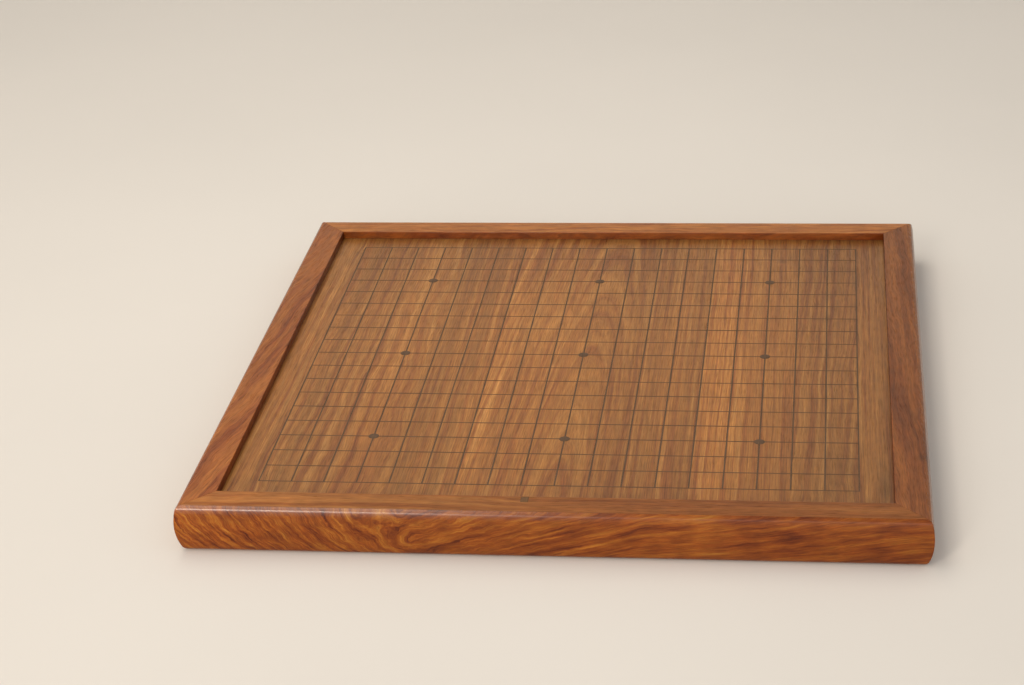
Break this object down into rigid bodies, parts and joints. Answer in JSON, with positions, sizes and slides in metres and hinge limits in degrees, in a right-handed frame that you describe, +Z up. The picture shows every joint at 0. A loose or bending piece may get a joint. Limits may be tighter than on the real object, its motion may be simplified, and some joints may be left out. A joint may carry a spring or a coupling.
{
  "type": "framed go board",
  "caption": "Square low wooden go board: mitred rounded frame round a sunk panel of edge-joined boards with inlaid grid lines and star points.",
  "frame": {"origin": "middle of the board's underside, on the table", "axes": "+X to the player's right, +Y away from the player, +Z up out of the playing face"},
  "size_m": [0.5, 0.5, 0.035],
  "materials": {
    "rail_rosewood": "oiled and burnished rosewood with strong figure, satin to semi-gloss",
    "panel_rosewood": "oiled rosewood boards with straight fine streaks, satin",
    "batten_rosewood": "planed rosewood, thinly oiled, dull satin",
    "dark_inlay": "dark hardwood inlay scraped flush, satin"
  },
  "bodies": {
    "root": {"front_rail": "rail_rosewood", "back_rail": "rail_rosewood", "left_rail": "rail_rosewood", "right_rail": "rail_rosewood", "panel_board_1": "panel_rosewood", "panel_board_2": "panel_rosewood", "panel_board_3": "panel_rosewood", "panel_board_4": "panel_rosewood", "panel_board_5": "panel_rosewood", "panel_board_6": "panel_rosewood", "panel_board_7": "panel_rosewood", "panel_board_8": "panel_rosewood", "front_batten": "batten_rosewood", "middle_batten": "batten_rosewood", "back_batten": "batten_rosewood", "corner_pegs": "batten_rosewood", "panel_pin": "dark_inlay", "long_lines": "dark_inlay", "cross_lines": "dark_inlay", "star_points": "dark_inlay"}
  },
  "joints": []
}
